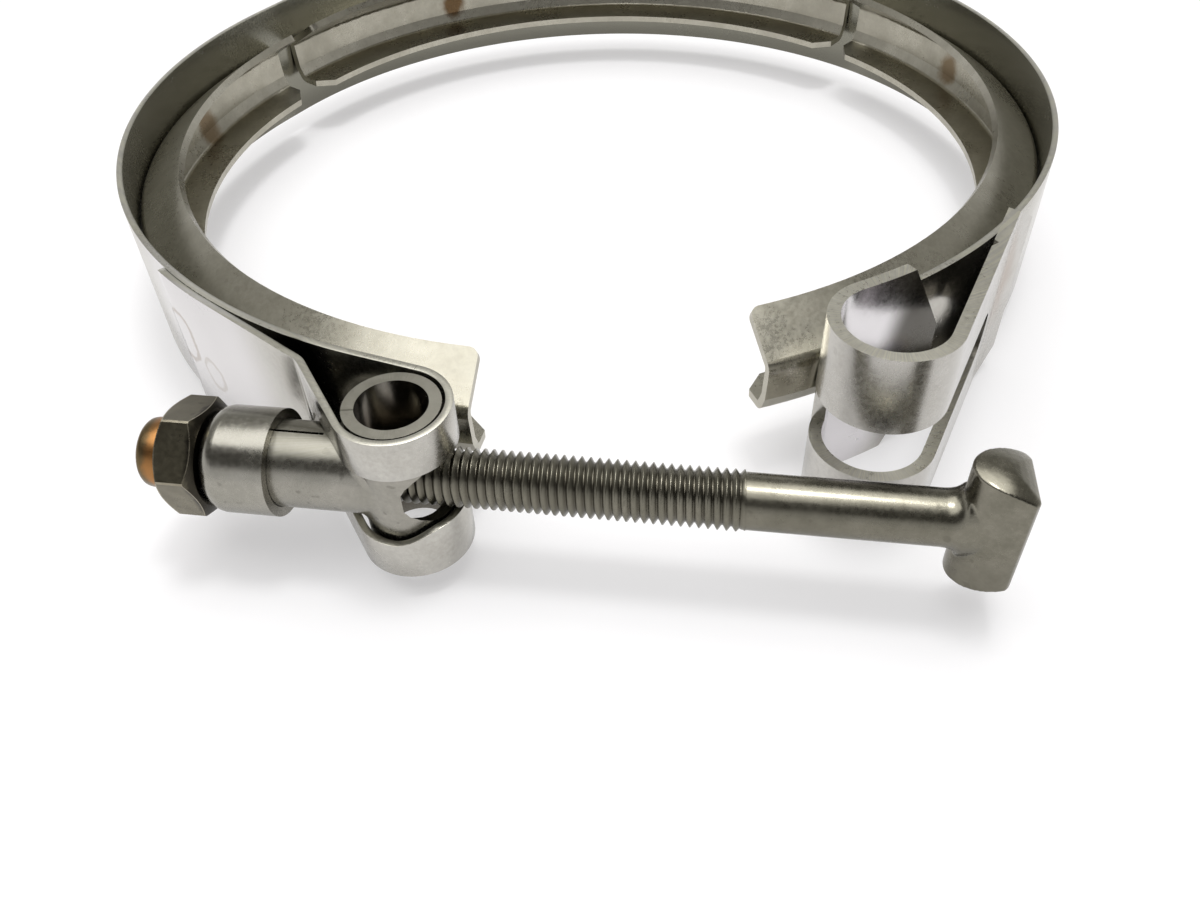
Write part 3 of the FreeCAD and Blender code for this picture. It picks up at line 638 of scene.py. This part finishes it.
NUT_FACE, NUT_BACK, COLLAR_END = -20.5, -24.85, -27.75
NUT_FLATS, NUT_TURN = 11.11, 13.6
CHAMFER_RADIUS, CHAMFER_SLOPE = 5.2, 1.6
WEAR = 0.11
NUT_BORE = 3.2
COLLAR_PROFILE = (
    (NUT_BACK, 3.85), (NUT_BACK - 0.3, 3.66), (NUT_BACK - 0.6, 3.66), (NUT_BACK - 1.0, 3.75),
    (COLLAR_END + 0.6, 3.75), (COLLAR_END + 0.25, 3.68), (COLLAR_END + 0.05, 3.52),
    (COLLAR_END, 3.38), (COLLAR_END + 0.2, NUT_BORE), (NUT_FACE, NUT_BORE),
)
FLAT_STEPS = (-28.8, -26, -20, -13, -6.5, 0, 6.5, 13, 20, 26, 28.8)


def nut_mesh():
    """Rings of points from the bore over the hexagon and the collar, back into the bore."""
    shape = bmesh.new()
    angles = []
    for corner in range(6):
        middle = 60 * corner
        angles += [middle + step for step in FLAT_STEPS]
    rows = []
    for kind in ("bore", "face", "bevel", "wear", "wear back", "bevel back", "back"):
        row = []
        for angle in angles:
            local = (angle + 30) % 60 - 30
            flat = NUT_FLATS / 2 / math.cos(math.radians(local))
            depth = max(flat - CHAMFER_RADIUS, 0) / CHAMFER_SLOPE
            x, radius = {
                "bore": (NUT_FACE, NUT_BORE),
                "face": (NUT_FACE, min(flat, CHAMFER_RADIUS)),
                "bevel": (NUT_FACE - depth, flat),
                "wear": (NUT_FACE - depth - WEAR, flat),
                "wear back": (NUT_BACK + depth + WEAR, flat),
                "bevel back": (NUT_BACK + depth, flat),
                "back": (NUT_BACK, min(flat, CHAMFER_RADIUS)),
            }[kind]
            way = math.radians(angle + NUT_TURN)
            row.append(shape.verts.new(Vector((x, radius * math.cos(way),
                                               radius * math.sin(way))) * MM))
        rows.append(row)
    for x, radius in COLLAR_PROFILE:
        rows.append([
            shape.verts.new(Vector((x, radius * math.cos(math.radians(angle + NUT_TURN)),
                                    radius * math.sin(math.radians(angle + NUT_TURN)))) * MM)
            for angle in angles
        ])
    count = len(angles)
    for number, (one, two) in enumerate(zip(rows, rows[1:])):
        for step in range(count):
            face = shape.faces.new((one[step], one[(step + 1) % count],
                                    two[(step + 1) % count], two[step]))
            corner = step % len(FLAT_STEPS) == len(FLAT_STEPS) - 1
            face.material_index = int(number in (2, 4) or (corner and number == 3))
            face.smooth = number not in (2, 3, 4) or corner
    for number in range(1, 8):
        for step in range(count):
            edge = shape.edges.get((rows[number][step], rows[number][(step + 1) % count]))
            edge.smooth = False
    for number in (2, 3, 4):
        for step in range(count):
            if step % len(FLAT_STEPS) in (0, len(FLAT_STEPS) - 1):
                shape.edges.get((rows[number][step], rows[number + 1][step])).smooth = False
    bmesh.ops.remove_doubles(shape, verts=shape.verts, dist=1e-7)
    bmesh.ops.recalc_face_normals(shape, faces=shape.faces)
    return mesh_from(shape, "lock_nut_bronzed")


nut = put("lock_nut_bronzed", nut_mesh())
nut.matrix_world = bolt.matrix_world.copy()
nut.data.materials.append(finish_steel(bronzed))
nut.data.materials.append(finish_steel(worn))
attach(nut, "lock_nut")
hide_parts("lock_nut")

# Studio: a pale floor, one broad softbox overhead, a small key lamp and a soft room.

FLOOR_HALF = 3
floor_mesh = bpy.data.meshes.new("floor")
corners = [(-FLOOR_HALF, -FLOOR_HALF, 0), (FLOOR_HALF, -FLOOR_HALF, 0),
           (FLOOR_HALF, FLOOR_HALF, 0), (-FLOOR_HALF, FLOOR_HALF, 0)]
floor_mesh.from_pydata(corners, [], [(0, 1, 2, 3)])
floor = put("floor", floor_mesh)
floor.location.z = FLOOR_LEVEL
paper = Nodes(bpy.data.materials.new("paper"))
paper.place = paper.add("ShaderNodeTexCoord").outputs["Object"]
sheet = paper.tree.nodes["Principled BSDF"]
sheet.inputs["Roughness"].default_value = 0.8
sheet.inputs["Specular IOR Level"].default_value = 0.15
plain = paper.blend(paper.noise(9, 2.0), colour(0.95, 0.945, 0.955), colour(0.965, 0.96, 0.965))
paper.feed(plain, sheet.inputs["Base Color"])
paths = paper.add("ShaderNodeLightPath")
seen = paper.math("MAXIMUM", paths.outputs["Is Camera Ray"], paths.outputs["Is Glossy Ray"])
seen = paper.math("MAXIMUM", seen, paths.outputs["Is Transmission Ray"])
glow = paper.add("ShaderNodeEmission", {0: colour(1.0, 0.99, 1.0), 1: 1.0})
# The glow grows with distance, so that the floor doesn't fade to grey in a low view.
glow_share = paper.span(paper.distance((0, 0, 0)), 0.25, 0.9, 0.45, 1.0)
surface = paper.add("ShaderNodeMixShader", {
    0: paper.math("MULTIPLY", seen, glow_share), 1: sheet.outputs[0], 2: glow.outputs[0],
})
paper.feed(surface.outputs[0], paper.tree.nodes["Material Output"].inputs["Surface"])
floor_mesh.materials.append(paper.owner)

world = bpy.data.worlds.new("studio")
bpy.context.scene.world = world
room = Nodes(world)
facing = room.add("ShaderNodeTexCoord").outputs["Generated"]
height = room.add("ShaderNodeSeparateXYZ", {0: facing}).outputs[2]
pale = colour(0.86, 0.86, 0.87)
dim = colour(0.10, 0.097, 0.09)
behind = room.add("ShaderNodeSeparateXYZ", {0: facing}).outputs[1]
dim = room.blend(room.span(behind, -0.25, 0.35), dim, colour(0.36, 0.355, 0.335))
tone = room.blend(room.span(height, 0.22, 0.48), pale, dim)
room.feed(tone, room.tree.nodes["Background"].inputs["Color"])
room.tree.nodes["Background"].inputs["Strength"].default_value = 1.0


def softbox(name, spot, target, width, depth, power):
    lamp = bpy.data.lights.new(name, "AREA")
    lamp.shape = "RECTANGLE"
    lamp.size, lamp.size_y = width, depth
    lamp.energy = power
    holder = put(name, lamp)
    holder.location = spot
    holder.rotation_euler = (Vector(target) - Vector(spot)).to_track_quat("-Z", "Y").to_euler()


softbox("overhead", spot=(-0.05, 0.02, 0.7), target=(0, -0.02, 0), width=0.9, depth=0.7, power=4.9)
softbox("key", spot=(0.05, -0.03, 0.6), target=(0, -0.04, 0), width=0.12, depth=0.12, power=1.1)
